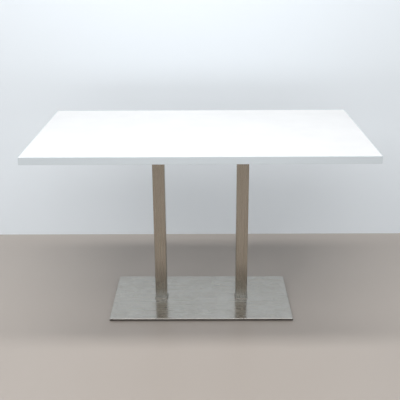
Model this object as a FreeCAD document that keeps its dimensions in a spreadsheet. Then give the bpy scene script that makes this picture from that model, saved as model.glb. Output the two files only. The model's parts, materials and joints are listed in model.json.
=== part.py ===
import FreeCAD, Part
import Sketcher
import math
import os

# Bistro table with a rectangular laminated top on two square brushed steel columns, which are
# welded to a flat base plate. Millimetres, +Z up, +X along the length of the top, and the front
# of the table towards -Y. The origin is on the floor, under the middle of the top.

DRIVING_SIZES = [
    # the table as a whole
    ("table_height", 760, "floor to the upper face of the top, glides screwed right in"),
    ("fit_gap", 0.05, "clearance between a screw and its hole, per side"),
    # table top
    ("top_length", 1300, "along X"),
    ("top_depth", 750, "along Y"),
    ("top_thickness", 28, "core and both laminates"),
    ("laminate_thickness", 0.8, "decor sheet and balancing sheet"),
    ("band_thickness", 2, "plastic edge band"),
    ("band_rounding", 1.2, "radius milled along the band's outer edges"),
    # base plate
    ("plate_length", 760, "along X"),
    ("plate_depth", 400, "along Y"),
    ("plate_thickness", 8, "solid steel plate"),
    ("plate_corner", 2, "corner radius in plan"),
    ("plate_bevel", 0.8, "ground bevel round the upper edge"),
    ("floor_gap", 3, "plate underside above the floor"),
    # columns
    ("column_side", 50, "square tube, outside"),
    ("column_wall", 2, "tube wall"),
    ("column_corner", 3, "outside corner radius of the tube"),
    ("column_spacing", 348, "between the axes of the two columns"),
    ("weld_leg", 4.5, "leg of the fillet weld round a column's foot"),
    ("weld_land", 0.4, "flat left at each toe of the weld"),
    # heads of the columns, under the top
    ("block_thickness", 10, "steel block welded into the head of a column"),
    ("bolt_square", 26, "square on which the four head screws sit"),
    ("bolt_diameter", 8, "head screws, thread diameter"),
    ("bolt_length", 14, "head screws, overall"),
    ("bolt_head", 16, "head screws, countersunk head"),
    ("bolt_sink", 0.3, "head face below the face of the mounting plate"),
    ("bolt_socket", 5, "head screws, hexagon socket across flats"),
    ("bolt_socket_depth", 3.2, "head screws, hexagon socket"),
    ("thread_bevel", 0.8, "bevel at the end of a head screw or a glide's stud"),
    ("mount_side", 300, "square mounting plate"),
    ("mount_thickness", 5, "mounting plate"),
    ("mount_corner", 12, "mounting plate, corner radius"),
    ("mount_bevel", 0.6, "bevel round the mounting plate's lower edge"),
    # wood screws that hold the top
    ("screw_reach", 135, "from the column's axis to each row of wood screws"),
    ("screw_hole", 6, "hole in the mounting plate"),
    ("screw_shank", 5, "wood screw, thread diameter"),
    ("screw_length", 22, "wood screw, under the head"),
    ("screw_point", 5, "wood screw, length of the point"),
    ("screw_head", 10, "wood screw, pan head diameter"),
    ("screw_head_height", 3, "wood screw, pan head"),
    ("screw_slot", 1.2, "wood screw, width of the cross slot"),
    ("screw_slot_depth", 1.8, "wood screw, cross slot"),
    # levelling glides under the corners of the base plate
    ("glide_inset", 40, "from the edges of the plate to a glide's axis"),
    ("foot_diameter", 32, "moulded foot"),
    ("foot_height", 2.8, "moulded foot"),
    ("foot_rounding", 0.6, "radius round the foot's sole"),
    ("foot_sole", 0.8, "foot under the stud's head"),
    ("foot_window", 6.5, "hole in the sole for the key"),
    ("stud_diameter", 8, "stud thread"),
    ("stud_head", 16, "flat head of the stud, held in the foot"),
    ("stud_head_height", 1.2, "flat head of the stud"),
    ("stud_socket", 4, "hexagon socket across flats"),
    ("stud_socket_depth", 3, "hexagon socket"),
    ("stud_reach", 6.2, "stud above the plate's underside"),
    ("stud_hole_depth", 6.6, "blind tapped hole in the plate"),
    ("swivel_gap", 0.1, "clearance between the foot and the stud"),
]

SIDES = {"left": -1, "right": 1}
CORNERS = {
    "front_left": (-1, -1),
    "front_right": (1, -1),
    "back_left": (-1, 1),
    "back_right": (1, 1),
}

# The outline of a pan head from its crown to its seat, as shares of its radius and its height.
PAN_HEAD = ((0.7, 1), (0.92, 2 / 3), (1, 1 / 3), (1, 0))

# Lengths closer than this, in millimetres, are the same.
TOLERANCE = 1e-6

doc = FreeCAD.newDocument("bistro_table")
subparts = []


# ---------------------------------------------------------------- the sheet and small helpers


def make_sheet():
    """The spreadsheet of driving dimensions, each value under its alias."""
    sheet = doc.addObject("Spreadsheet::Sheet", "Sizes")
    for row, (alias, value, note) in enumerate(DRIVING_SIZES, start=1):
        sheet.set(f"A{row}", alias)
        sheet.set(f"B{row}", str(value))
        sheet.setAlias(f"B{row}", alias)
        sheet.set(f"C{row}", note)
    doc.recompute()
    return sheet


sizes = make_sheet()


def cells(formula):
    """A formula over plain aliases, written as an expression over the sheet's cells."""
    words = formula.replace("(", "( ").replace(")", " )").split()
    aliases = {alias for alias, _, _ in DRIVING_SIZES}
    return " ".join(f"Sizes.{word}" if word in aliases else word for word in words)


def bind(thing, **formulas):
    """Binds properties of an object to formulas over the sheet, with __ for a dot in a path."""
    for path, formula in formulas.items():
        thing.setExpression(path.replace("__", "."), cells(formula))


def place(thing, x="0", y="0", z="0", turn=0):
    """Places a sub-part: a turn about Z in degrees, then a position bound to the sheet."""
    upright = FreeCAD.Rotation(FreeCAD.Vector(0, 0, 1), turn)
    thing.Placement = FreeCAD.Placement(FreeCAD.Vector(), upright)
    bind(thing, Placement__Base__x=x, Placement__Base__y=y, Placement__Base__z=z)


def subpart(thing, label):
    """Lists an object as a sub-part, whose label names its file."""
    thing.Label = label
    subparts.append(thing)
    return thing


def new_body(label):
    return subpart(doc.addObject("PartDesign::Body", label), label)


def origin_plane(body, role):
    return next(f for f in body.Origin.OriginFeatures if f.Role == role)


def new_sketch(body, name, role="XY_Plane", height="0"):
    """A sketch on one of the body's own planes, raised by a formula along the plane's normal."""
    sketch = body.newObject("Sketcher::SketchObject", name)
    sketch.AttachmentSupport = [(origin_plane(body, role), "")]
    sketch.MapMode = "FlatFace"
    bind(sketch, AttachmentOffset__Base__z=height)
    return sketch


def dimension(sketch, name, formula, *constraint):
    """Adds a driving dimension, named and bound to a formula over the sheet."""
    index = sketch.addConstraint(Sketcher.Constraint(*constraint, 1.0))
    sketch.renameConstraint(index, name)
    bind(sketch, **{f"Constraints__{name}": formula})


def draw_rectangle(sketch, name, width, depth):
    """A rectangle centred on the sketch's origin."""
    corners = [FreeCAD.Vector(x, y) for x, y in ((-1, -1), (1, -1), (1, 1), (-1, 1))]
    ring = zip(corners, corners[1:] + corners[:1])
    first = sketch.addGeometry([Part.LineSegment(a, b) for a, b in ring])[0]
    low, right, high, left = range(first, first + 4)
    for a, b in ((low, right), (right, high), (high, left), (left, low)):
        sketch.addConstraint(Sketcher.Constraint("Coincident", a, 2, b, 1))
    sketch.addConstraint([Sketcher.Constraint("Horizontal", line) for line in (low, high)])
    sketch.addConstraint([Sketcher.Constraint("Vertical", line) for line in (left, right)])
    sketch.addConstraint(Sketcher.Constraint("Symmetric", low, 1, high, 1, -1, 1))
    dimension(sketch, f"{name}_width", width, "DistanceX", low, 1, low, 2)
    dimension(sketch, f"{name}_depth", depth, "DistanceY", right, 1, right, 2)


def draw_circle(sketch, name, diameter, x="0", y="0"):
    """A circle at a position given by two formulas, which may be negative."""
    circle = Part.Circle(FreeCAD.Vector(1, 1), FreeCAD.Vector(0, 0, 1), 1)
    index = sketch.addGeometry(circle)
    dimension(sketch, f"{name}_x", x, "DistanceX", -1, 1, index, 3)
    dimension(sketch, f"{name}_y", y, "DistanceY", -1, 1, index, 3)
    dimension(sketch, f"{name}_diameter", diameter, "Diameter", index)


def pad(body, sketch, length):
    feature = body.newObject("PartDesign::Pad", f"{sketch.Name}_pad")
    feature.Profile = sketch
    bind(feature, Length=length)
    doc.recompute()
    return feature


def pocket(body, sketch, depth=None, upwards=False):
    """Cuts a sketch out of the body, to a depth or through it, and checks that it took metal away."""
    before = body.Shape.Volume
    feature = body.newObject("PartDesign::Pocket", f"{sketch.Name}_pocket")
    feature.Profile = sketch
    feature.Reversed = upwards
    if depth is None:
        feature.Type = "ThroughAll"
    else:
        bind(feature, Length=depth)
    doc.recompute()
    if body.Shape.Volume >= before:
        raise RuntimeError(f"{feature.Name} cuts nothing")
    return feature


def dress(body, kind, name, edges, **formulas):
    """A PartDesign Fillet or Chamfer on the edges of the body's tip that a test picks."""
    tip = body.Tip
    picked = [f"Edge{n}" for n, edge in enumerate(tip.Shape.Edges, start=1) if edges(edge)]
    feature = body.newObject(f"PartDesign::{kind}", f"{body.Name}_{name}")
    feature.Base = (tip, picked)
    bind(feature, **formulas)
    doc.recompute()
    return feature


def is_upright(edge):
    return edge.BoundBox.XLength < TOLERANCE and edge.BoundBox.YLength < TOLERANCE


def lies_at(edge, height):
    return edge.BoundBox.ZLength < TOLERANCE and abs(edge.BoundBox.ZMin - height) < TOLERANCE


def distance_out(edge):
    """How far an edge's middle is from the Z axis, measured square to the sides."""
    middle = edge.BoundBox.Center
    return max(abs(middle.x), abs(middle.y))


def revolved(points):
    """A solid of revolution about Z from its half outline of (radius, height) points."""
    outline = [FreeCAD.Vector(radius, 0, height) for radius, height in points]
    face = Part.Face(Part.makePolygon(outline + outline[:1]))
    return face.revolve(FreeCAD.Vector(), FreeCAD.Vector(0, 0, 1), 360)


def hexagon_prism(across_flats, bottom, height):
    """A hexagonal prism about Z, for a socket."""
    radius = across_flats / math.sqrt(3)
    turns = [math.radians(60 * n) for n in range(7)]
    ring = [FreeCAD.Vector(radius * math.cos(a), radius * math.sin(a), bottom) for a in turns]
    return Part.Face(Part.makePolygon(ring)).extrude(FreeCAD.Vector(0, 0, height))


def copies(shape, places):
    """Separate solids of one shape, one at each (x, y), as one compound."""
    return Part.makeCompound([shape.translated(FreeCAD.Vector(x, y, 0)) for x, y in places])


# ---------------------------------------------------------------- table top


def screw_places():
    """The eight wood screws of one mounting plate, as (x, y) signs from the column's axis."""
    signs = (-1, 0, 1)
    return [(x, y) for x in signs for y in signs if (x, y) != (0, 0)]


def make_pilot_holes():
    """One cylinder for each wood screw, from under the top to just past the screw's point."""
    holes = []
    for side, side_sign in SIDES.items():
        for number, (x_sign, y_sign) in enumerate(screw_places(), start=1):
            hole = doc.addObject("Part::Cylinder", f"pilot_{side}_{number}")
            bind(
                hole,
                Radius="screw_shank / 2 + fit_gap",
                Height="screw_length - mount_thickness + fit_gap",
            )
            place(
                hole,
                x=f"{side_sign} * column_spacing / 2 + {x_sign} * screw_reach",
                y=f"{y_sign} * screw_reach",
                z="table_height - top_thickness",
            )
            holes.append(hole)
    group = doc.addObject("Part::Compound", "pilot_holes")
    group.Links = holes
    return group


def make_sheet_panel(name, thickness, bottom):
    """A panel as large as the core, lying between two heights of the top."""
    panel = doc.addObject("Part::Box", name)
    bind(
        panel,
        Length="top_length - 2 * band_thickness",
        Width="top_depth - 2 * band_thickness",
        Height=thickness,
    )
    place(
        panel,
        x="0 - ( top_length / 2 - band_thickness )",
        y="0 - ( top_depth / 2 - band_thickness )",
        z=bottom,
    )
    return panel


def drilled(panel, holes, label):
    """A panel with the pilot holes of the wood screws cut out of it."""
    cut = doc.addObject("Part::Cut", f"{label}_drilled")
    cut.Base = panel
    cut.Tool = holes
    return subpart(cut, label)


def make_panel():
    """Chipboard core between two sheets of laminate."""
    holes = make_pilot_holes()
    underside = "table_height - top_thickness"
    core = make_sheet_panel(
        "core_panel",
        "top_thickness - 2 * laminate_thickness",
        f"{underside} + laminate_thickness",
    )
    balancing = make_sheet_panel("balancing_sheet", "laminate_thickness", underside)
    decor = make_sheet_panel("decor_sheet", "laminate_thickness", "table_height - laminate_thickness")
    drilled(core, holes, "top_core")
    drilled(balancing, holes, "underside_laminate")
    subpart(decor, "top_laminate")


def make_edge_band(side, length, reach, turn, covers_ends):
    """A plastic band: inner face on its local XZ plane, outer face towards local -Y. The bands
    that cover the ends of the others are rounded at their own ends too."""
    body = new_body(f"edge_band_{side}")
    sketch = new_sketch(body, f"band_{side}_outline")
    draw_rectangle(sketch, "band", length, "2 * band_thickness")
    pad(body, sketch, "top_thickness")
    half = new_sketch(body, f"band_{side}_inside")
    draw_rectangle(half, "inside", f"{length} + 2 * band_thickness", "2 * band_thickness")
    bind(half, AttachmentOffset__Base__y="band_thickness")
    pocket(body, half, upwards=True)

    length_now = body.Shape.BoundBox.XLength

    def on_the_outside(edge):
        box = edge.BoundBox
        at_an_end = abs(abs(box.Center.x) - length_now / 2) < TOLERANCE
        return box.YMax < -TOLERANCE if not at_an_end else covers_ends and box.YMin < -TOLERANCE

    dress(body, "Fillet", "rounding", on_the_outside, Radius="band_rounding")
    sideways = {0: ("0", f"0 - ( {reach} )"), 90: (reach, "0")}
    sideways[180] = ("0", reach)
    sideways[270] = (f"0 - ( {reach} )", "0")
    x, y = sideways[turn]
    place(body, x=x, y=y, z="table_height - top_thickness", turn=turn)


def make_edge_bands():
    """Four bands: the two short ones between the core's corners, the two long ones over them."""
    long_reach = "top_depth / 2 - band_thickness"
    short_reach = "top_length / 2 - band_thickness"
    make_edge_band("front", "top_length", long_reach, 0, True)
    make_edge_band("back", "top_length", long_reach, 180, True)
    make_edge_band("right", "top_depth - 2 * band_thickness", short_reach, 90, False)
    make_edge_band("left", "top_depth - 2 * band_thickness", short_reach, 270, False)


# ---------------------------------------------------------------- base plate and columns


def glide_place(x_sign, y_sign):
    """Formulas for the axis of the glide under one corner of the base plate."""
    x = f"{x_sign} * ( plate_length / 2 - glide_inset )"
    y = f"{y_sign} * ( plate_depth / 2 - glide_inset )"
    return x, y


def make_base_plate():
    """A solid plate with rounded corners, a bevelled upper edge and four blind tapped holes."""
    body = new_body("base_plate")
    outline = new_sketch(body, "plate_outline")
    draw_rectangle(outline, "plate", "plate_length", "plate_depth")
    pad(body, outline, "plate_thickness")
    dress(body, "Fillet", "corners", is_upright, Radius="plate_corner")
    thickness = sizes.plate_thickness
    dress(body, "Chamfer", "bevel", lambda edge: lies_at(edge, thickness), Size="plate_bevel")
    holes = new_sketch(body, "stud_holes")
    for corner, (x_sign, y_sign) in CORNERS.items():
        x, y = glide_place(x_sign, y_sign)
        draw_circle(holes, corner, "stud_diameter + 2 * fit_gap", x, y)
    pocket(body, holes, "stud_hole_depth", upwards=True)
    place(body, z="floor_gap")


def make_column(side, sign):
    """A square tube from the base plate up to the mounting plate."""
    body = new_body(f"column_{side}")
    section = new_sketch(body, f"tube_{side}_section")
    draw_rectangle(section, "outer", "column_side", "column_side")
    draw_rectangle(section, "inner", "column_side - 2 * column_wall", "column_side - 2 * column_wall")
    foot = "floor_gap + plate_thickness"
    pad(body, section, f"table_height - top_thickness - mount_thickness - ( {foot} )")
    half = sizes.column_side / 2

    def outside(edge):
        return is_upright(edge) and distance_out(edge) > half - TOLERANCE

    def inside(edge):
        return is_upright(edge) and distance_out(edge) < half - sizes.column_wall + TOLERANCE

    dress(body, "Fillet", "outer_corners", outside, Radius="column_corner")
    dress(body, "Fillet", "inner_corners", inside, Radius="column_corner - column_wall")
    place(body, x=f"{sign} * column_spacing / 2", z=foot)


def make_foot_weld(side, sign):
    """The fillet weld round a column's foot: a low square collar, bevelled down to its toes."""
    body = new_body(f"foot_weld_{side}")
    ring = new_sketch(body, f"weld_{side}_outline")
    draw_rectangle(ring, "toe", "column_side + 2 * weld_leg", "column_side + 2 * weld_leg")
    draw_rectangle(ring, "root", "column_side", "column_side")
    pad(body, ring, "weld_leg")
    toe = sizes.column_side / 2 + sizes.weld_leg
    root = sizes.column_side / 2

    def at_the_root(edge):
        return is_upright(edge) and distance_out(edge) < root + TOLERANCE

    def at_the_toe(edge):
        return is_upright(edge) and distance_out(edge) > toe - TOLERANCE

    def round_the_top(edge):
        return lies_at(edge, sizes.weld_leg) and distance_out(edge) > root + sizes.weld_leg / 2

    dress(body, "Fillet", "root_corners", at_the_root, Radius="column_corner")
    dress(body, "Fillet", "toe_corners", at_the_toe, Radius="column_corner + weld_leg")
    dress(body, "Chamfer", "slope", round_the_top, Size="weld_leg - weld_land")
    place(body, x=f"{sign} * column_spacing / 2", z="floor_gap + plate_thickness")


# ---------------------------------------------------------------- heads of the columns


def make_head_block(side, sign):
    """The steel block inside the head of a column, with four tapped holes."""
    body = new_body(f"head_block_{side}")
    outline = new_sketch(body, f"block_{side}_outline")
    draw_rectangle(outline, "block", "column_side - 2 * column_wall", "column_side - 2 * column_wall")
    pad(body, outline, "block_thickness")
    dress(body, "Fillet", "corners", is_upright, Radius="column_corner - column_wall")
    holes = new_sketch(body, f"block_{side}_holes")
    for name, (x_sign, y_sign) in CORNERS.items():
        x, y = f"{x_sign} * bolt_square / 2", f"{y_sign} * bolt_square / 2"
        draw_circle(holes, name, "bolt_diameter + 2 * fit_gap", x, y)
    pocket(body, holes, upwards=True)
    place(
        body,
        x=f"{sign} * column_spacing / 2",
        z="table_height - top_thickness - mount_thickness - block_thickness",
    )


def make_mounting_plate(side, sign):
    """The plate between a column and the top: four countersunk holes in the middle for the head
    screws, and a square of eight plain holes for the wood screws."""
    body = new_body(f"mounting_plate_{side}")
    outline = new_sketch(body, f"mount_{side}_outline")
    draw_rectangle(outline, "mount", "mount_side", "mount_side")
    pad(body, outline, "mount_thickness")
    dress(body, "Fillet", "corners", is_upright, Radius="mount_corner")
    dress(body, "Chamfer", "bevel", lambda edge: lies_at(edge, 0), Size="mount_bevel")
    plain = new_sketch(body, f"mount_{side}_screw_holes")
    for number, (x_sign, y_sign) in enumerate(screw_places(), start=1):
        x, y = f"{x_sign} * screw_reach", f"{y_sign} * screw_reach"
        draw_circle(plain, f"screw_{number}", "screw_hole", x, y)
    pocket(body, plain, upwards=True)
    sunk = new_sketch(body, f"mount_{side}_bolt_holes", height="mount_thickness")
    for name, (x_sign, y_sign) in CORNERS.items():
        x, y = f"{x_sign} * bolt_square / 2", f"{y_sign} * bolt_square / 2"
        draw_circle(sunk, name, "bolt_diameter", x, y)
    doc.recompute()
    before = body.Shape.Volume
    hole = body.newObject("PartDesign::Hole", f"mount_{side}_countersinks")
    hole.Profile = sunk
    hole.DepthType = "ThroughAll"
    hole.Threaded = False
    hole.HoleCutType = "Countersink"
    hole.HoleCutCustomValues = True
    hole.HoleCutCountersinkAngle = 90
    bind(
        hole,
        Diameter="bolt_diameter + 2 * fit_gap",
        HoleCutDiameter="bolt_head + 2 * bolt_sink + 4 * fit_gap",
    )
    doc.recompute()
    if body.Shape.Volume >= before:
        raise RuntimeError(f"{hole.Name} cuts nothing")
    place(
        body,
        x=f"{sign} * column_spacing / 2",
        z="table_height - top_thickness - mount_thickness",
    )


def make_head_screws(side, sign):
    """Four countersunk socket screws that hold a mounting plate to the block in the column."""
    shank = sizes.bolt_diameter / 2
    head = sizes.bolt_head / 2
    top = -sizes.bolt_sink
    cone = head - shank
    tip = top - sizes.bolt_length
    bevel = sizes.thread_bevel
    screw = revolved(
        [(0, tip), (shank - bevel, tip), (shank, tip + bevel), (shank, top - cone), (head, top), (0, top)]
    )
    socket_depth = sizes.bolt_socket_depth
    screw = screw.cut(hexagon_prism(sizes.bolt_socket, top - socket_depth, socket_depth))
    reach = sizes.bolt_square / 2
    places = [(reach * x, reach * y) for x, y in CORNERS.values()]
    group = subpart(doc.addObject("Part::Feature", f"bolts_{side}"), f"head_screws_{side}")
    group.Shape = copies(screw, places)
    place(group, x=f"{sign} * column_spacing / 2", z="table_height - top_thickness")


def make_wood_screws(side, sign):
    """Eight pan head screws that hold the top, driven up through a mounting plate."""
    shank = sizes.screw_shank / 2
    head = sizes.screw_head / 2
    low = -sizes.screw_head_height
    tip = sizes.screw_length
    pan = [(head * out, low * up) for out, up in PAN_HEAD]
    thread = [(shank, 0), (shank, tip - sizes.screw_point), (0, tip)]
    screw = revolved([(0, low), *pan, *thread])
    slot_depth = sizes.screw_slot_depth
    for width, depth in ((head, sizes.screw_slot), (sizes.screw_slot, head)):
        corner = FreeCAD.Vector(-width / 2, -depth / 2, low)
        screw = screw.cut(Part.makeBox(width, depth, slot_depth, corner))
    reach = sizes.screw_reach
    places = [(reach * x, reach * y) for x, y in screw_places()]
    group = subpart(doc.addObject("Part::Feature", f"screws_{side}"), f"top_screws_{side}")
    group.Shape = copies(screw, places)
    place(
        group,
        x=f"{sign} * column_spacing / 2",
        z="table_height - top_thickness - mount_thickness",
    )


# ---------------------------------------------------------------- levelling glides


def make_glide_foot(corner, x_sign, y_sign):
    """The moulded foot, which holds the stud's flat head in a pocket and swivels on it."""
    outer = sizes.foot_diameter / 2
    height = sizes.foot_height
    rounding = sizes.foot_rounding
    gap = sizes.swivel_gap
    window = sizes.foot_window / 2
    neck = sizes.stud_diameter / 2 + gap
    pocket_radius = sizes.stud_head / 2 + gap
    pocket_floor = sizes.foot_sole
    pocket_roof = pocket_floor + sizes.stud_head_height + gap
    foot = revolved(
        [
            (window, 0),
            (outer, 0),
            (outer, height),
            (neck, height),
            (neck, pocket_roof),
            (pocket_radius, pocket_roof),
            (pocket_radius, pocket_floor),
            (window, pocket_floor),
        ]
    )
    sole_edge = [e for e in foot.Edges if lies_at(e, 0) and e.BoundBox.XLength > outer]
    foot = foot.makeFillet(rounding, sole_edge)
    node = subpart(doc.addObject("Part::Feature", f"foot_{corner}"), f"glide_foot_{corner}")
    node.Shape = foot
    x, y = glide_place(x_sign, y_sign)
    place(node, x=x, y=y)


def make_glide_stud(corner, x_sign, y_sign):
    """The threaded stud of a glide, with a flat head and a hexagon socket in its lower face."""
    bottom = sizes.foot_sole + sizes.swivel_gap / 2
    collar = bottom + sizes.stud_head_height
    tip = sizes.floor_gap + sizes.stud_reach
    shank = sizes.stud_diameter / 2
    head = sizes.stud_head / 2
    bevel = sizes.thread_bevel
    stud = revolved(
        [
            (0, bottom),
            (head, bottom),
            (head, collar),
            (shank, collar),
            (shank, tip - bevel),
            (shank - bevel, tip),
            (0, tip),
        ]
    )
    stud = stud.cut(hexagon_prism(sizes.stud_socket, bottom, sizes.stud_socket_depth))
    node = subpart(doc.addObject("Part::Feature", f"stud_{corner}"), f"glide_stud_{corner}")
    node.Shape = stud
    x, y = glide_place(x_sign, y_sign)
    place(node, x=x, y=y)


# ---------------------------------------------------------------- the whole table


def make_table():
    make_panel()
    make_edge_bands()
    make_base_plate()
    for side, sign in SIDES.items():
        make_column(side, sign)
        make_foot_weld(side, sign)
        make_head_block(side, sign)
        make_mounting_plate(side, sign)
        make_head_screws(side, sign)
        make_wood_screws(side, sign)
    for corner, (x_sign, y_sign) in CORNERS.items():
        make_glide_foot(corner, x_sign, y_sign)
        make_glide_stud(corner, x_sign, y_sign)
    doc.recompute()


def check_table():
    """Stops if any object failed to build or any sub-part isn't a set of sound closed solids."""
    for thing in doc.Objects:
        if {"Invalid", "Error"} & set(thing.State):
            raise RuntimeError(f"{thing.Label} failed to build: {thing.State}")
    for thing in subparts:
        shape = thing.Shape
        if shape.isNull() or not shape.isValid() or not shape.Solids:
            raise RuntimeError(f"{thing.Label} isn't a sound solid")


def write_steps():
    os.makedirs("parts", exist_ok=True)
    for thing in subparts:
        thing.Shape.exportStep(os.path.join("parts", f"{thing.Label}.step"))
        print(f"{thing.Label}: {len(thing.Shape.Solids)} solid(s), {thing.Shape.Volume:.0f} mm3")


make_table()
check_table()
write_steps()
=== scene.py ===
"""Looks of a bistro table: a white laminated top, two brushed steel columns, a steel base plate.

Everything is in metres in the table's own frame: +Z up, +X along the top, the front towards -Y, and
the origin on the floor under the middle of the top.
"""

import json
import math

import bmesh
import bpy
from mathutils import Matrix, Vector


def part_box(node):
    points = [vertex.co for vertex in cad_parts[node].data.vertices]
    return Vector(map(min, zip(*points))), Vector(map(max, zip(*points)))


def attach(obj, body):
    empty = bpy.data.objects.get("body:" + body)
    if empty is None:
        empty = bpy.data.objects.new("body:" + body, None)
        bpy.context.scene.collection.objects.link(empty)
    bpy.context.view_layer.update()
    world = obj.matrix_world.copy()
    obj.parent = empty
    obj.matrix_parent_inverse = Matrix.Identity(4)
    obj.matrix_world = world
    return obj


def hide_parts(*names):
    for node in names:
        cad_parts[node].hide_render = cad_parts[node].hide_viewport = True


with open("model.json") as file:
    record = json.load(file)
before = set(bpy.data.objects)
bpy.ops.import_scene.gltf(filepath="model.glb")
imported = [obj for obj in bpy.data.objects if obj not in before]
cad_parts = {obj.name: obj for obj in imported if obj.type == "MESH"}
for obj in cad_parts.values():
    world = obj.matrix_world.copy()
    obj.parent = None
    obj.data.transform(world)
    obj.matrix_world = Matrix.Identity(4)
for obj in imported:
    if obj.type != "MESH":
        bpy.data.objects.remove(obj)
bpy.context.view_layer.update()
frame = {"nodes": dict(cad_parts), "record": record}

MM = 0.001
SIDES = ("left", "right")
CORNERS = ("front_left", "front_right", "back_left", "back_right")
PLATE_BEVEL = 0.8 * MM
COLUMN_CORNER = 3 * MM
# Noise runs from 0 to 1, but nearly all of it lies between these.
NOISE_RANGE = (0.3, 0.7)


# ------------------------------------------------------------------ nodes and meshes, in general


def linear(hex_colour):
    """An sRGB hex colour, such as "#f4f5f4", as linear red, green, blue and alpha."""
    channels = [int(hex_colour[i : i + 2], 16) / 255 for i in (1, 3, 5)]
    curve = [c / 12.92 if c <= 0.04045 else ((c + 0.055) / 1.055) ** 2.4 for c in channels]
    return (*curve, 1.0)


def add(tree, kind, inputs=None, **settings):
    """Adds a node, sets its properties, and gives its inputs values or other nodes' outputs. A
    node given as a value stands for its first output."""
    node = tree.nodes.new(kind)
    for name, value in settings.items():
        setattr(node, name, value)
    for name, value in (inputs or {}).items():
        if isinstance(value, bpy.types.Node):
            value = value.outputs[0]
        if isinstance(value, bpy.types.NodeSocket):
            tree.links.new(value, node.inputs[name])
        else:
            node.inputs[name].default_value = value
    return node


def new_material(name, constants=None):
    """A material with one Principled shader, whose constant sockets are set by name."""
    material = bpy.data.materials.new(name)
    material.use_nodes = True
    tree = material.node_tree
    tree.nodes.clear()
    shader = add(tree, "ShaderNodeBsdfPrincipled", constants)
    add(tree, "ShaderNodeOutputMaterial", {"Surface": shader.outputs["BSDF"]})
    return material, tree, shader


def pattern(tree, grain, detail=2.0, roughness=0.5):
    """Noise in object space whose grains measure grain, three lengths in metres along X, Y, Z."""
    place = add(tree, "ShaderNodeTexCoord").outputs["Object"]
    scale = tuple(1 / length for length in grain)
    scaled = add(tree, "ShaderNodeMapping", {"Vector": place, "Scale": scale})
    settings = {"Scale": 1.0, "Detail": detail, "Roughness": roughness}
    noise = add(tree, "ShaderNodeTexNoise", {"Vector": scaled.outputs["Vector"], **settings})
    return noise.outputs["Fac"]


def finish(tree, shader, drift, colours, roughness=None, relief=None):
    """Makes a surface. Its colour runs between two hex colours, and its roughness between two
    values where it isn't even, as one pattern drifts. Its relief is another pattern, with a depth
    in metres and a strength."""
    ramp = add(tree, "ShaderNodeValToRGB", {"Fac": drift})
    for stop, position, colour in zip(ramp.color_ramp.elements, NOISE_RANGE, colours):
        stop.position = position
        stop.color = linear(colour)
    tree.links.new(ramp.outputs["Color"], shader.inputs["Base Color"])
    if roughness:
        limits = dict(zip(("From Min", "From Max", "To Min", "To Max"), NOISE_RANGE + roughness))
        gloss = add(tree, "ShaderNodeMapRange", {"Value": drift, **limits})
        tree.links.new(gloss.outputs["Result"], shader.inputs["Roughness"])
    if relief:
        settings = dict(zip(("Height", "Distance", "Strength"), relief))
        raised = add(tree, "ShaderNodeBump", settings)
        tree.links.new(raised.outputs["Normal"], shader.inputs["Normal"])


def new_object(name, mesh):
    piece = bpy.data.objects.new(name, mesh)
    bpy.context.scene.collection.objects.link(piece)
    return piece


def turned(name, profile, steps, ring=False):
    """A closed mesh turned about Z from a profile of (radius, height) points. The profile runs
    from the axis back to the axis, or it is a closed ring round a hole."""
    mesh = bmesh.new()
    loops = []
    for radius, height in profile:
        if radius == 0:
            loops.append([mesh.verts.new((0, 0, height))] * steps)
            continue
        angles = [math.tau * step / steps for step in range(steps)]
        around = [(radius * math.cos(a), radius * math.sin(a), height) for a in angles]
        loops.append([mesh.verts.new(point) for point in around])
    pairs = list(zip(loops, loops[1:] + loops[:1])) if ring else list(zip(loops, loops[1:]))
    for low, high in pairs:
        for step in range(steps):
            after = (step + 1) % steps
            corners = [low[step], low[after], high[after], high[step]]
            mesh.faces.new(dict.fromkeys(corners))
    bmesh.ops.recalc_face_normals(mesh, faces=mesh.faces)
    data = bpy.data.meshes.new(name)
    mesh.to_mesh(data)
    mesh.free()
    return new_object(name, data)


def prism(name, outline, bottom, top, taper=1.0):
    """A prism along Z from a flat outline, whose upper end is taper times as wide."""
    mesh = bmesh.new()
    low = [mesh.verts.new((x, y, bottom)) for x, y in outline]
    high = [mesh.verts.new((x * taper, y * taper, top)) for x, y in outline]
    mesh.faces.new(low)
    mesh.faces.new(high)
    count = len(outline)
    for i in range(count):
        j = (i + 1) % count
        mesh.faces.new((low[i], low[j], high[j], high[i]))
    bmesh.ops.recalc_face_normals(mesh, faces=mesh.faces)
    data = bpy.data.meshes.new(name)
    mesh.to_mesh(data)
    mesh.free()
    return new_object(name, data)


def settle(piece):
    """Applies a piece's modifiers, so that it is one plain mesh."""
    graph = bpy.context.evaluated_depsgraph_get()
    mesh = bpy.data.meshes.new_from_object(piece.evaluated_get(graph), depsgraph=graph)
    piece.modifiers.clear()
    piece.data = mesh
    return piece


def joined(piece, *others):
    """One mesh from one or more objects, in the first one's object, with its faces outwards."""
    mesh = bmesh.new()
    for part in (piece, *others):
        mesh.from_mesh(part.data)
    bmesh.ops.recalc_face_normals(mesh, faces=mesh.faces)
    mesh.to_mesh(piece.data)
    mesh.free()
    for part in others:
        bpy.data.objects.remove(part)
    return piece


def carved(piece, tool):
    """Cuts a tool out of a piece, and removes the tool."""
    cut = piece.modifiers.new("cut", "BOOLEAN")
    cut.object = tool
    cut.solver = "EXACT"
    settle(piece)
    bpy.data.objects.remove(tool)
    return piece


def smooth(piece, sharper_than=35):
    """Smooth shading, except at edges that turn by more than an angle in degrees."""
    piece.data.shade_smooth()
    piece.data.set_sharp_from_angle(angle=math.radians(sharper_than))
    return piece


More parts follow.
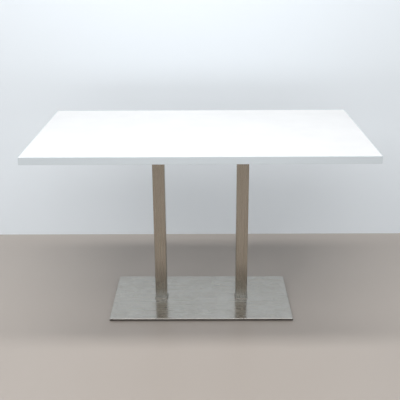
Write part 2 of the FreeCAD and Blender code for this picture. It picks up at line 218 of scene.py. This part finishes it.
def new_tree(name, **inputs):
    """A Geometry Nodes tree with named inputs, each given by its socket type."""
    tree = bpy.data.node_groups.new(name, "GeometryNodeTree")
    for label, kind in inputs.items():
        socket = f"NodeSocket{kind}"
        tree.interface.new_socket(label, in_out="INPUT", socket_type=socket)
    tree.interface.new_socket("Geometry", in_out="OUTPUT", socket_type="NodeSocketGeometry")
    return tree, add(tree, "NodeGroupInput").outputs


def end_tree(tree, geometry, material):
    """Ends a tree: real geometry in place of instances, smooth, with its material."""
    real = add(tree, "GeometryNodeRealizeInstances", {"Geometry": geometry})
    shaded = {"Geometry": real.outputs["Geometry"], "Material": material}
    finished = add(tree, "GeometryNodeSetMaterial", shaded)
    add(tree, "NodeGroupOutput", {"Geometry": finished.outputs["Geometry"]})


def grow(name, tree, mesh=None, **values):
    """Runs a tree, on a mesh or on nothing, and returns the plain mesh that it makes."""
    piece = new_object(name, mesh or bpy.data.meshes.new(name))
    modifier = piece.modifiers.new(name, "NODES")
    modifier.node_group = tree
    for item in tree.interface.items_tree:
        if item.in_out == "INPUT" and item.name in values:
            modifier[item.identifier] = values[item.name]
    return settle(piece)


# ------------------------------------------------------------------ materials


def white_laminate():
    """High-pressure laminate: paper in melamine resin, pressed against a fine matt plate. It
    gives an even bright white with a faint satin sheen and a grain too fine to see from a chair."""
    material, tree, shader = new_material("high_pressure_laminate", {"Specular IOR Level": 0.45})
    cloudy = pattern(tree, (90 * MM,) * 3)
    pressed = pattern(tree, (0.7 * MM,) * 3, detail=3.0)
    relief = (pressed, 0.02 * MM, 0.4)
    finish(tree, shader, cloudy, ("#dfdfdf", "#e3e3e3"), (0.45, 0.48), relief)
    return material


def edge_band():
    """ABS edge band, extruded and embossed, then scraped flush, and a little duller than the
    laminate
    beside it. Its colour is painted shade: a bluish grey for an upright face that is as white as
    the top but gets less light, and more of it from the bluish room."""
    material, tree, shader = new_material("abs_edge_band_painted_shade", {"Specular IOR Level": 0.4})
    extruded = pattern(tree, (60 * MM, 60 * MM, 1.5 * MM))
    embossed = pattern(tree, (0.5 * MM,) * 3, detail=3.0)
    relief = (embossed, 0.02 * MM, 0.5)
    # Painted shade: a bluish grey, though the band is as white as the laminate.
    finish(tree, shader, extruded, ("#cbd3d8", "#cfd7dc"), (0.45, 0.55), relief)
    return material


def chipboard():
    """Chipboard: wood flakes pressed in resin, honey brown with darker flecks of bark."""
    material, tree, shader = new_material("chipboard", {"Roughness": 0.85})
    flakes = pattern(tree, (4 * MM, 4 * MM, 1 * MM), detail=4.0, roughness=0.7)
    finish(tree, shader, flakes, ("#7d5c3a", "#cfae7d"), relief=(flakes, 0.3 * MM, 1.0))
    return material


def brushed_steel(name, grain_axis, colours, dull_and_bright, scratch_depth, smudges):
    """Stainless steel, belt ground along one axis. Fine parallel scratches smear what it
    reflects across the grain and keep it sharp along the grain, broad faint streaks are where
    the belt bit deeper, and soft patches are where hands and cloths left a film. Real scratches
    are 0.05 mm wide: these are coarser, so they show."""
    constants = {"Metallic": 1.0, "Anisotropic": 0.85, "Anisotropic Rotation": 0.25}
    material, tree, shader = new_material(name, constants)
    along = Vector([axis == grain_axis for axis in "XYZ"])

    def streaks(width, length, detail=2.0):
        grain = [length if on_axis else width for on_axis in along]
        return pattern(tree, grain, detail)

    scratches = streaks(0.5 * MM, 60 * MM, 3.0)
    belt_marks = streaks(3.5 * MM, 400 * MM)
    handling = pattern(tree, (70 * MM,) * 3, 3.0)
    low, high = NOISE_RANGE
    limits = {"From Min": low, "From Max": high, "To Min": -smudges, "To Max": smudges}
    film = add(tree, "ShaderNodeMapRange", {"Value": handling, **limits})
    worn = add(tree, "ShaderNodeMath", {0: belt_marks, 1: film}, operation="ADD")
    finish(tree, shader, worn, colours, dull_and_bright, (scratches, scratch_depth, 0.5))
    # A hair off the axis, so that a face square to the grain still has a direction.
    off_axis = 0.02
    direction = {axis: on_axis + off_axis for axis, on_axis in zip("XYZ", along)}
    grain = add(tree, "ShaderNodeCombineXYZ", direction)
    tree.links.new(grain.outputs["Vector"], shader.inputs["Tangent"])
    return material


def shader_and_height(material):
    """A material's tree, its shader, and the height above the floor of what it shades."""
    tree = material.node_tree
    shader = next(n for n in tree.nodes if n.bl_idname == "ShaderNodeBsdfPrincipled")
    place = add(tree, "ShaderNodeTexCoord").outputs["Object"]
    height = add(tree, "ShaderNodeSeparateXYZ", {"Vector": place}).outputs["Z"]
    return tree, shader, height


def mixed(tree, shader, name, share, low, high):
    """Gives one of the shader's inputs a mix: low where the share is 0 and high where it is 1."""
    factor, low_colour, high_colour, result = 0, 6, 7, 2
    inputs = {factor: share, low_colour: low, high_colour: high}
    mix = add(tree, "ShaderNodeMix", inputs, data_type="RGBA")
    tree.links.new(mix.outputs[result], shader.inputs[name])


def cut_and_shaded_edges(material, top):
    """Below a height, the steel is as the laser cut it and the mill rolled it: duller than its
    brushed face, with upright drag lines. It is darker there too, partly as cut steel is and partly
    as painted shade, for the shadowed floor that the edges reflect and the dark gap beneath them."""
    tree, shader, height = shader_and_height(material)
    names = ("Base Color", "Roughness")
    brushed = [shader.inputs[name].links[0].from_socket for name in names]
    drag_lines = pattern(tree, (0.6 * MM, 0.6 * MM, 15 * MM), detail=3.0)
    # Painted shade: these colours are darker than the cut steel alone would be.
    finish(tree, shader, drag_lines, ("#6c6661", "#7b7570"), (0.55, 0.42))
    above = add(tree, "ShaderNodeMath", {0: height, 1: top}, operation="GREATER_THAN")
    for name, face in zip(names, brushed):
        edge = shader.inputs[name].links[0].from_socket
        mixed(tree, shader, name, above, edge, face)
    return material


def blended_foot_painted_light(material, bottom):
    """Above a height, a hand's breadth where the welder blended the joint with a finer belt, the
    steel is a little paler and cleaner, and fades into the rest. The paler colour is partly the
    blended finish and partly painted light, for the light that the bright plate below throws on it."""
    tree, shader, height = shader_and_height(material)
    hand = pattern(tree, (14 * MM, 14 * MM, 30 * MM), detail=3.0)
    sway = {0: hand, 1: 30 * MM, 2: height}
    uneven = add(tree, "ShaderNodeMath", sway, operation="MULTIPLY_ADD")
    starts, ends = bottom + 18 * MM, bottom + 66 * MM
    limits = {"From Min": starts, "From Max": ends, "To Min": 1.0, "To Max": 0.0}
    share = add(tree, "ShaderNodeMapRange", {"Value": uneven, **limits})
    face = shader.inputs["Base Color"].links[0].from_socket
    # Painted light: a paler, cooler steel colour near the plate.
    mixed(tree, shader, "Base Color", share, face, linear("#d3d5d3"))
    return material


def weld_metal():
    """TIG weld in stainless steel, brushed after cooling: dull silver, straw coloured where the
    heat tint stayed."""
    material, tree, shader = new_material("tig_weld", {"Metallic": 1.0})
    heat = pattern(tree, (12 * MM,) * 3, 3.0)
    brushed = pattern(tree, (0.4 * MM,) * 3)
    relief = (brushed, 0.03 * MM, 0.5)
    finish(tree, shader, heat, ("#9e958a", "#b3b0ab"), (0.45, 0.34), relief)
    return material


def mild_steel():
    """Sawn mild steel bar, a little oxidised: dark grey with a dull metallic gleam."""
    material, tree, shader = new_material("sawn_mild_steel", {"Metallic": 1.0})
    scale = pattern(tree, (6 * MM,) * 3, 4.0)
    finish(tree, shader, scale, ("#5b5856", "#85827f"), (0.55, 0.4))
    return material


def powder_coat():
    """Black polyester powder coat, baked on: a fine pebbled skin that breaks up highlights."""
    material, tree, shader = new_material("black_powder_coat")
    pebbles = pattern(tree, (0.9 * MM,) * 3, 1.0)
    flow = pattern(tree, (35 * MM,) * 3)
    finish(tree, shader, flow, ("#161718", "#1d1e1f"), (0.52, 0.6), (pebbles, 0.08 * MM, 0.7))
    return material


def zinc_plate():
    """Bright zinc plating with a clear passivate: silver with a faint blue and straw cast."""
    material, tree, shader = new_material("zinc_plated_steel", {"Metallic": 1.0})
    cast = pattern(tree, (3 * MM,) * 3)
    finish(tree, shader, cast, ("#c2c9cf", "#d6d2c4"), (0.24, 0.34))
    return material


def moulded_nylon():
    """Black nylon, injection moulded against a spark-eroded tool: a soft, slightly grey satin."""
    material, tree, shader = new_material("moulded_nylon", {"IOR": 1.53})
    sparks = pattern(tree, (0.3 * MM,) * 3, 2.0)
    scuffs = pattern(tree, (8 * MM,) * 3, 3.0)
    finish(tree, shader, scuffs, ("#161718", "#242527"), (0.42, 0.55), (sparks, 0.02 * MM, 0.6))
    return material


MATERIALS = {
    "white_laminate": white_laminate(),
    "white_edge_band": edge_band(),
    "chipboard_core": chipboard(),
    "column_steel": blended_foot_painted_light(
        brushed_steel(
            "brushed_stainless_column",
            grain_axis="Z",
            # Painted reflection: warmer and darker than the plate's colours for the same steel, the
            # tint of the floor that the columns reflect.
            colours=("#b1a99d", "#bbb5aa"),
            dull_and_bright=(0.285, 0.255),
            scratch_depth=0.007 * MM,
            smudges=0.03,
        ),
        bottom=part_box("column_left")[0].z,
    ),
    "plate_steel": cut_and_shaded_edges(
        brushed_steel(
            "brushed_stainless_plate",
            grain_axis="X",
            colours=("#c3c0b9", "#cbc8c2"),
            dull_and_bright=(0.285, 0.26),
            scratch_depth=0.002 * MM,
            smudges=0.16,
        ),
        top=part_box("base_plate")[1].z - PLATE_BEVEL,
    ),
    "stainless_weld": weld_metal(),
    "mild_steel": mild_steel(),
    "black_powder_coat": powder_coat(),
    "zinc_plated_steel": zinc_plate(),
    "nylon_foot": moulded_nylon(),
}


def dress_frame():
    """Gives each CAD node its material, by its slot. Brushed stainless steel is two materials,
    because its grain runs along the plate and up the columns, and because each carries its own
    painted
    light: a warm painted reflection and a pale foot on the columns, painted shade on the plate's
    edges."""
    slots = {part["node"]: part["material_slot"] for part in frame["record"]["subparts"]}
    for name, node in frame["nodes"].items():
        kind = slots[name]
        if kind == "brushed_stainless":
            kind = "plate_steel" if name == "base_plate" else "column_steel"
        node.data.materials.clear()
        node.data.materials.append(MATERIALS[kind])


# ------------------------------------------------------------------ welds round the columns' feet


def weld_bead_tree():
    """A fillet weld along a rounded square: a triangular section with a round belly, in ripples
    that lean back along the weld, and of a width that wanders a little as a hand does."""
    sizes = dict.fromkeys(("Side", "Corner", "Leg", "Ripple", "Depth", "Wander"), "Float")
    tree, given = new_tree("weld_bead", **sizes, Material="Material")
    corner_steps = 6
    belly_steps = 5
    steps_per_ripple = 6.0
    belly_share = 0.62
    ripple_lean = 0.45
    wobbles_per_metre = 90.0
    square = add(
        tree,
        "GeometryNodeCurvePrimitiveQuadrilateral",
        {"Width": given["Side"], "Height": given["Side"]},
    )
    path = add(
        tree,
        "GeometryNodeFilletCurve",
        {"Curve": square.outputs["Curve"], "Radius": given["Corner"], "Count": corner_steps},
        mode="POLY",
    )
    stride = {0: given["Ripple"], 1: steps_per_ripple}
    step = add(tree, "ShaderNodeMath", stride, operation="DIVIDE")
    even = add(
        tree,
        "GeometryNodeResampleCurve",
        {"Curve": path.outputs["Curve"], "Length": step},
        mode="LENGTH",
    )
    upright = add(tree, "GeometryNodeSetCurveNormal", {"Curve": even.outputs["Curve"]}, mode="Z_UP")
    travel = add(tree, "GeometryNodeSplineParameter").outputs["Length"]
    marked = add(tree, "GeometryNodeCaptureAttribute", {"Geometry": upright.outputs["Curve"]})
    marked.capture_items.new("FLOAT", "Travel")
    tree.links.new(travel, marked.inputs["Travel"])

    # The section: a corner in the joint, a toe on the plate, a round belly, a toe on the column.
    # A profile's Y points down here, because the square runs clockwise as seen from above.
    toe = given["Leg"]
    belly = add(tree, "ShaderNodeMath", {0: toe, 1: belly_share}, operation="MULTIPLY")
    belly_down, toe_down = [
        add(tree, "ShaderNodeMath", {0: distance, 1: -1.0}, operation="MULTIPLY")
        for distance in (belly, toe)
    ]
    corners = [(0.0, 0.0), (toe, 0.0), (belly, belly_down), (0.0, toe_down)]
    points = {}
    for number, (x, y) in enumerate(corners, start=1):
        point = add(tree, "ShaderNodeCombineXYZ", {"X": x, "Y": y})
        points[f"Point {number}"] = point.outputs["Vector"]
    section = add(tree, "GeometryNodeCurvePrimitiveQuadrilateral", points, mode="POINTS")
    belly_corner = 2
    at_belly = add(
        tree,
        "FunctionNodeCompare",
        {2: add(tree, "GeometryNodeInputIndex"), 3: belly_corner},
        data_type="INT",
        operation="EQUAL",
    )
    radius = add(tree, "ShaderNodeMath", {0: toe, 1: at_belly}, operation="MULTIPLY")
    rounded = add(
        tree,
        "GeometryNodeFilletCurve",
        {"Curve": section.outputs["Curve"], "Radius": radius, "Count": belly_steps},
        mode="POLY",
    )
    bead = add(
        tree,
        "GeometryNodeCurveToMesh",
        {"Curve": marked.outputs["Geometry"], "Profile Curve": rounded.outputs["Curve"]},
    )

    # Height up the bead, from 0 at the plate to 1 at the column, and a bulge of 1 half way, which
    # is four times the height times what is left above it.
    place = add(tree, "GeometryNodeInputPosition").outputs["Position"]
    height = add(tree, "ShaderNodeSeparateXYZ", {"Vector": place}).outputs["Z"]
    share = add(tree, "ShaderNodeMath", {0: height, 1: given["Leg"]}, operation="DIVIDE")
    left = add(tree, "ShaderNodeMath", {0: 1.0, 1: share}, operation="SUBTRACT")
    hump = add(tree, "ShaderNodeMath", {0: share, 1: left}, operation="MULTIPLY")
    bulge = add(tree, "ShaderNodeMath", {0: hump, 1: 4.0}, operation="MULTIPLY")

    # Each ripple rises by its depth over its length, and lags where the bead bulges.
    along = {0: marked.outputs["Travel"], 1: given["Ripple"]}
    ripples = add(tree, "ShaderNodeMath", along, operation="DIVIDE")
    lagging = {0: bulge, 1: ripple_lean, 2: ripples}
    lean = add(tree, "ShaderNodeMath", lagging, operation="MULTIPLY_ADD")
    wave = add(tree, "ShaderNodeMath", {0: lean}, operation="FRACT")
    rise = add(tree, "ShaderNodeMath", {0: wave, 1: given["Depth"]}, operation="MULTIPLY")

    # The width wanders to both sides of what it should be.
    noise = {"Vector": place, "Scale": wobbles_per_metre, "Detail": 1.0}
    wobble = add(tree, "ShaderNodeTexNoise", noise).outputs["Fac"]
    centred = add(tree, "ShaderNodeMath", {0: wobble, 1: 0.5}, operation="SUBTRACT")
    drift = add(tree, "ShaderNodeMath", {0: centred, 1: given["Wander"]}, operation="MULTIPLY")

    both = add(tree, "ShaderNodeMath", {0: rise, 1: drift}, operation="ADD")
    outward = add(tree, "ShaderNodeMath", {0: both, 1: bulge}, operation="MULTIPLY")
    normal = add(tree, "GeometryNodeInputNormal").outputs["Normal"]
    push = {0: normal, "Scale": outward}
    shift = add(tree, "ShaderNodeVectorMath", push, operation="SCALE")
    rippled = add(
        tree,
        "GeometryNodeSetPosition",
        {"Geometry": bead.outputs["Mesh"], "Offset": shift.outputs["Vector"]},
    )
    shaded = add(tree, "GeometryNodeSetShadeSmooth", {"Geometry": rippled.outputs["Geometry"]})
    end_tree(tree, shaded.outputs["Geometry"], given["Material"])
    return tree


def make_welds():
    """A bead round each column's foot. Its section is a little smaller than the plain fillet that
    it replaces, because the ripples stand out past the section."""
    section_share = 0.94
    tree = weld_bead_tree()
    for side in SIDES:
        low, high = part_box(f"foot_weld_{side}")
        foot_low, foot_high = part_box(f"column_{side}")
        leg = high.z - low.z
        bead = grow(
            f"weld_bead_{side}",
            tree,
            Side=foot_high.x - foot_low.x,
            Corner=COLUMN_CORNER,
            Leg=leg * section_share,
            Ripple=2.4 * MM,
            Depth=0.22 * MM,
            Wander=0.8 * MM,
            Material=MATERIALS["stainless_weld"],
        )
        centre = (low + high) / 2
        joined(bead)
        bead.data.transform(Matrix.Translation((centre.x, centre.y, low.z)))
        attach(bead, "root")
        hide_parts(f"foot_weld_{side}")


# ------------------------------------------------------------------ screws and glides


def thread_tree():
    """A right-hand screw thread: a ridge along a rising spiral. Its section has three corners, one
    of them towards the axis, so the crest is flat and stands half the depth past the radius."""
    sizes = dict.fromkeys(("Radius", "Pitch", "Turns", "Depth"), "Float")
    tree, given = new_tree("screw_thread", **sizes, Material="Material")
    steps_per_turn = 28
    climb = {0: given["Pitch"], 1: given["Turns"]}
    rise = add(tree, "ShaderNodeMath", climb, operation="MULTIPLY")
    spiral = add(
        tree,
        "GeometryNodeCurveSpiral",
        {
            "Resolution": steps_per_turn,
            "Rotations": given["Turns"],
            "Start Radius": given["Radius"],
            "End Radius": given["Radius"],
            "Height": rise,
        },
    )
    upright = add(tree, "GeometryNodeSetCurveNormal", {"Curve": spiral}, mode="Z_UP")
    three_cornered = {"Resolution": 3, "Radius": given["Depth"]}
    ridge = add(tree, "GeometryNodeCurvePrimitiveCircle", three_cornered)
    thread = add(
        tree,
        "GeometryNodeCurveToMesh",
        {
            "Curve": upright.outputs["Curve"],
            "Profile Curve": ridge.outputs["Curve"],
            "Fill Caps": True,
        },
    )
    end_tree(tree, thread.outputs["Mesh"], given["Material"])
    return tree


def threaded(body, tree, radius, pitch, start, length, depth):
    """Puts a thread on a turned body, from a height over a length. The ridge's middle line runs
    at the radius."""
    ridge = grow(
        "thread",
        tree,
        Radius=radius,
        Pitch=pitch,
        Turns=length / pitch,
        Depth=depth,
        Material=MATERIALS["zinc_plated_steel"],
    )
    ridge.data.transform(Matrix.Translation((0, 0, start)))
    return joined(body, ridge)


def cross_outline(reach, width):
    """The outline of a cross recess, anticlockwise."""
    half = width / 2
    quarter = [(reach, -half), (reach, half), (half, half)]
    turns = [Matrix.Rotation(math.pi / 2 * n, 2) for n in range(4)]
    return [tuple(turn @ Vector(point)) for turn in turns for point in quarter]


def wood_screw(tree):
    """A pan head wood screw, seat at the origin and point upwards, with a cross recess."""
    shank = 1.75 * MM
    neck = 2.5 * MM
    neck_end = 6 * MM
    length = 22 * MM
    point = 5 * MM
    head = 5 * MM
    crown = -3 * MM
    thread_start = 7 * MM
    thread_length = length - point - thread_start
    pitch = 2.2 * MM
    ridge = 0.5 * MM
    recess_reach = 2.5 * MM
    recess_width = 1.15 * MM
    recess_floor = crown + 1.9 * MM
    recess_taper = 0.55
    overcut = 0.2 * MM
    body = turned(
        "wood_screw",
        [
            (0, crown),
            (head * 0.45, crown + 0.05 * MM),
            (head * 0.72, crown + 0.35 * MM),
            (head * 0.9, crown + 1.0 * MM),
            (head * 0.99, crown + 2.0 * MM),
            (head, -0.35 * MM),
            (head * 0.96, 0),
            (neck, 0),
            (neck * 0.95, neck_end),
            (shank, neck_end + 0.5 * MM),
            (shank, length - point),
            (0, length),
        ],
        steps=36,
    )
    recess = cross_outline(recess_reach, recess_width)
    carved(body, prism("recess", recess, crown - overcut, recess_floor, recess_taper))
    threaded(body, tree, shank + 0.2 * MM, pitch, thread_start, thread_length, ridge)
    return smooth(body)


def screw_square_tree():
    """Eight screws on a square, at its corners and the middles of its sides, each one stopped
    at an angle of its own."""
    tree, given = new_tree(
        "screw_square", Span="Float", Screw="Object", Seed="Int", Material="Material"
    )
    grid = add(
        tree,
        "GeometryNodeMeshGrid",
        {"Size X": given["Span"], "Size Y": given["Span"], "Vertices X": 3, "Vertices Y": 3},
    )
    middle_point = 4
    middle = add(
        tree,
        "FunctionNodeCompare",
        {2: add(tree, "GeometryNodeInputIndex"), 3: middle_point},
        data_type="INT",
        operation="EQUAL",
    )
    square = add(
        tree,
        "GeometryNodeDeleteGeometry",
        {"Geometry": grid.outputs["Mesh"], "Selection": middle.outputs["Result"]},
        domain="POINT",
    )
    screw = add(tree, "GeometryNodeObjectInfo", {"Object": given["Screw"], "As Instance": True})
    stop = add(
        tree,
        "FunctionNodeRandomValue",
        {"Min": (0.0, 0.0, 0.0), "Max": (0.0, 0.0, math.tau), "Seed": given["Seed"]},
        data_type="FLOAT_VECTOR",
    )
    screws = add(
        tree,
        "GeometryNodeInstanceOnPoints",
        {
            "Points": square.outputs["Geometry"],
            "Instance": screw.outputs["Geometry"],
            "Rotation": stop.outputs["Value"],
        },
    )
    end_tree(tree, screws.outputs["Instances"], given["Material"])
    return tree


def make_wood_screws(thread):
    screw = wood_screw(thread)
    tree = screw_square_tree()
    for number, side in enumerate(SIDES):
        low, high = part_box(f"top_screws_{side}")
        head_diameter = 10 * MM
        screws = grow(
            f"wood_screws_{side}",
            tree,
            Span=high.x - low.x - head_diameter,
            Screw=screw,
            Seed=number,
            Material=MATERIALS["zinc_plated_steel"],
        )
        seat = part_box(f"mounting_plate_{side}")[0].z
        centre = (low + high) / 2
        screws.data.transform(Matrix.Translation((centre.x, centre.y, seat)))
        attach(screws, "root")
        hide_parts(f"top_screws_{side}")
    bpy.data.objects.remove(screw)


def grip_tree():
    """Finger flutes round the rim of a turned piece: points near the rim move in by a wave."""
    sizes = dict.fromkeys(("Rim", "Depth", "Count"), "Float")
    tree, given = new_tree("grip_flutes", Geometry="Geometry", **sizes, Material="Material")
    place = add(tree, "GeometryNodeInputPosition").outputs["Position"]
    parts = add(tree, "ShaderNodeSeparateXYZ", {"Vector": place}).outputs
    angle = add(tree, "ShaderNodeMath", {0: parts["Y"], 1: parts["X"]}, operation="ARCTAN2")
    phase = add(tree, "ShaderNodeMath", {0: angle, 1: given["Count"]}, operation="MULTIPLY")
    wave = add(tree, "ShaderNodeMath", {0: phase}, operation="COSINE")

    # The wave runs from 1 to -1, and the way inwards from -1 in a flute to 0 between flutes.
    halved = {0: wave, 1: -0.5, 2: -0.5}
    inward = add(tree, "ShaderNodeMath", halved, operation="MULTIPLY_ADD")
    depth = add(tree, "ShaderNodeMath", {0: inward, 1: given["Depth"]}, operation="MULTIPLY")
    flat = add(tree, "ShaderNodeCombineXYZ", {"X": parts["X"], "Y": parts["Y"]})
    radial = add(tree, "ShaderNodeVectorMath", {0: flat}, operation="NORMALIZE")
    reach = add(tree, "ShaderNodeVectorMath", {0: flat}, operation="LENGTH").outputs["Value"]
    at_rim = {0: reach, 1: given["Rim"]}
    near_rim = add(tree, "ShaderNodeMath", at_rim, operation="GREATER_THAN")
    amount = add(tree, "ShaderNodeMath", {0: depth, 1: near_rim}, operation="MULTIPLY")
    shift = add(tree, "ShaderNodeVectorMath", {0: radial, "Scale": amount}, operation="SCALE")
    fluted = add(
        tree,
        "GeometryNodeSetPosition",
        {"Geometry": given["Geometry"], "Offset": shift.outputs["Vector"]},
    )
    end_tree(tree, fluted.outputs["Geometry"], given["Material"])
    return tree


def glide_foot(tree, name):
    """The moulded foot of a glide: a fluted disc with a captive pocket, and a sole that rests on
    two rings with a shallow groove between them."""
    flutes = 30
    rim = 16 * MM
    height = 2.8 * MM
    window = 3.25 * MM
    neck = 4.1 * MM
    pocket = 8.1 * MM
    floor = 0.8 * MM
    roof = 2.1 * MM
    inner_ring = 6.5 * MM
    outer_ring = 13 * MM
    groove = 0.3 * MM
    groove_slope = 0.1 * MM
    flute_depth = 0.45 * MM
    steps_per_flute = 6
    profile = [
        (window, 0.15 * MM),
        (window + 0.2 * MM, 0),
        (inner_ring, 0),
        (inner_ring + groove_slope, groove),
        (outer_ring - groove_slope, groove),
        (outer_ring, 0),
        (rim - 1.4 * MM, 0),
        (rim - 0.9 * MM, 0),
        (rim - 0.35 * MM, 0.15 * MM),
        (rim, 0.6 * MM),
        (rim, height - 0.5 * MM),
        (rim - 0.2 * MM, height - 0.15 * MM),
        (rim - 0.6 * MM, height),
        (rim - 1.1 * MM, height),
        (neck, height),
        (neck, roof),
        (pocket, roof),
        (pocket, floor),
        (window, floor),
    ]
    blank = turned(name, profile, flutes * steps_per_flute, ring=True)
    mesh = blank.data
    bpy.data.objects.remove(blank)
    foot = grow(
        name,
        tree,
        mesh,
        Rim=rim - 0.5 * MM,
        Depth=flute_depth,
        Count=float(flutes),
        Material=MATERIALS["nylon_foot"],
    )
    return smooth(foot)


def glide_stud(thread, name, bottom, top):
    """The stud of a glide: a flat round head with a hexagon socket, and an M8 thread."""
    head = 8 * MM
    head_height = 1.2 * MM
    core = 3.4 * MM
    pitch = 1.25 * MM
    ridge = 0.55 * MM
    tip = 0.6 * MM
    key = 4 * MM
    socket_depth = 3 * MM
    overcut = 0.5 * MM
    collar = bottom + head_height
    body = turned(
        name,
        [
            (0, bottom),
            (head - 0.2 * MM, bottom),
            (head, bottom + 0.2 * MM),
            (head, collar - 0.15 * MM),
            (head - 0.15 * MM, collar),
            (core, collar),
            (core, top - tip),
            (core - tip, top),
            (0, top),
        ],
        steps=48,
    )
    radius = key / math.sqrt(3)
    angles = [math.tau * n / 6 for n in range(6)]
    hexagon = [(radius * math.cos(a), radius * math.sin(a)) for a in angles]
    carved(body, prism("socket", hexagon, bottom - overcut, bottom + socket_depth))
    run = top - collar - 2 * ridge
    threaded(body, thread, core + 0.05 * MM, pitch, collar + ridge, run, ridge)
    body.data.materials.clear()
    body.data.materials.append(MATERIALS["zinc_plated_steel"])
    return smooth(body)


def make_glides(thread):
    tree = grip_tree()
    for corner in CORNERS:
        low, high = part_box(f"glide_foot_{corner}")
        centre = (low + high) / 2
        foot = glide_foot(tree, f"moulded_foot_{corner}")
        foot.data.transform(Matrix.Translation((centre.x, centre.y, 0)))
        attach(foot, f"glide_foot_{corner}")
        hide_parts(f"glide_foot_{corner}")
        low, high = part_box(f"glide_stud_{corner}")
        stud = glide_stud(thread, f"threaded_stud_{corner}", low.z, high.z)
        stud.data.transform(Matrix.Translation((centre.x, centre.y, 0)))
        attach(stud, f"glide_stud_{corner}")
        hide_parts(f"glide_stud_{corner}")


# ------------------------------------------------------------------ floor, wall, lights, camera


def one_sided(name, hex_colour, roughness):
    """A plain studio surface that can't be seen from behind, so it never hides the table."""
    material, tree, shader = new_material(name, {"Roughness": roughness})
    shader.inputs["Base Color"].default_value = linear(hex_colour)
    output = next(n for n in tree.nodes if n.bl_idname == "ShaderNodeOutputMaterial")
    behind = add(tree, "ShaderNodeNewGeometry").outputs["Backfacing"]
    clear = add(tree, "ShaderNodeBsdfTransparent").outputs["BSDF"]
    mix = add(tree, "ShaderNodeMixShader", {0: behind, 1: shader.outputs["BSDF"], 2: clear})
    tree.links.new(mix.outputs["Shader"], output.inputs["Surface"])
    return material


def studio_surface(name, points, faces, material):
    """A flat part of the studio. Its faces run anticlockwise as seen from their front."""
    mesh = bpy.data.meshes.new(name)
    mesh.from_pydata(points, [], faces)
    mesh.materials.append(material)
    surface = new_object(name, mesh)


def make_studio():
    """A floor and a wall behind the table. The floor is open under the base plate, where nobody
    sees it from above, so that light gets to the glides for a look from below."""
    wall_y = 0.74
    wide = 7.0
    deep = 4.5
    tall = 4.5
    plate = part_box("base_plate")[1]
    rim = 8 * MM
    corners = ((-1, -1), (1, -1), (1, 1), (-1, 1))
    outer = [(x * wide, y * deep, 0) for x, y in corners]
    inner = [(x * (plate.x - rim), y * (plate.y - rim), 0) for x, y in corners]
    strips = [(n, (n + 1) % 4, (n + 1) % 4 + 4, n + 4) for n in range(4)]
    studio_surface("floor", outer + inner, strips, one_sided("pale_floor", "#b6ada5", 0.4))
    wall = [(-wide, wall_y, 0), (wide, wall_y, 0), (wide, wall_y, tall), (-wide, wall_y, tall)]
    studio_surface("wall", wall, [(0, 1, 2, 3)], one_sided("painted_wall", "#ebf2f8", 0.8))


def soft_light(name, place, target, size, power, mirrored=True):
    """A rectangular softbox that faces a target. One that isn't mirrored lights the steel but
    makes no bright patch in it."""
    data = bpy.data.lights.new(name, "AREA")
    data.shape = "RECTANGLE"
    data.size, data.size_y = size
    data.energy = power
    lamp = new_object(name, data)
    lamp.visible_glossy = mirrored
    aim = (Vector(target) - Vector(place)).to_track_quat("-Z", "Y")
    lamp.matrix_world = Matrix.Translation(place) @ aim.to_matrix().to_4x4()


def make_lights():
    """A bright room: a long strip light over the table, a diffusing ceiling in front of it, a high
    window at the left, and a pale room behind whoever is looking. Two more lamps light what other
    views see: the floor behind the wall, and the glides from under the floor."""
    world = bpy.data.worlds.new("studio_air")
    world.use_nodes = True
    tree = world.node_tree
    sky = next(n for n in tree.nodes if n.bl_idname == "ShaderNodeBackground")
    sky.inputs["Color"].default_value = linear("#fbfdff")
    # What lies beyond the wall and floor looks pale, but lights the table only dimly.
    glow = 0.2
    seen_extra = 0.55
    seen = add(tree, "ShaderNodeLightPath").outputs["Is Camera Ray"]
    shine = {0: seen, 1: seen_extra, 2: glow}
    brightness = add(tree, "ShaderNodeMath", shine, operation="MULTIPLY_ADD")
    tree.links.new(brightness.outputs["Value"], sky.inputs["Strength"])
    bpy.context.scene.world = world
    table = (0.0, 0.2, 0.5)
    strip_x, strip_y = -0.1, -0.45
    above = (strip_x, strip_y, 3.2)
    below = (strip_x, strip_y, 0.0)
    soft_light("ceiling_strip", above, below, (3.0, 0.4), 47, mirrored=False)
    soft_light("front_ceiling_bay", (0.0, -2.2, 3.2), (0.0, -1.6, 0.0), (3.0, 1.6), 44)
    soft_light("high_left_window", (-2.2, -2.6, 3.2), table, (1.6, 1.6), 22, mirrored=False)
    soft_light("far_room", (0.0, -5.0, 0.7), (0.0, 0.0, 0.7), (8.0, 1.3), 99, mirrored=False)
    soft_light("behind_the_wall", (0.0, 4.0, 3.2), (0.0, 3.0, 0.0), (6.0, 3.0), 45)
    soft_light("under_the_floor", (0.0, 0.0, -1.2), (0.0, 0.0, 0.0), (1.6, 1.0), 10)


def make_camera():
    """Eye height, in front of the table and looking down on it a little. Angles are in degrees."""
    pan = 0.384
    down = 19.87
    lean = -0.327
    data = bpy.data.cameras.new("camera")
    data.sensor_width = 36.0
    data.lens = 64.2
    camera = new_object("camera", data)
    place = Matrix.Translation((0.0155, -2.812, 1.478))
    turn = Matrix.Rotation(math.radians(pan), 4, "Z")
    tilt = Matrix.Rotation(math.radians(90 - down), 4, "X")
    roll = Matrix.Rotation(math.radians(lean), 4, "Z")
    camera.matrix_world = place @ turn @ tilt @ roll
    bpy.context.scene.camera = camera


bpy.context.scene.view_settings.view_transform = "Standard"
make_camera()
make_studio()
make_lights()
dress_frame()
make_welds()
THREAD = thread_tree()
make_wood_screws(THREAD)
make_glides(THREAD)
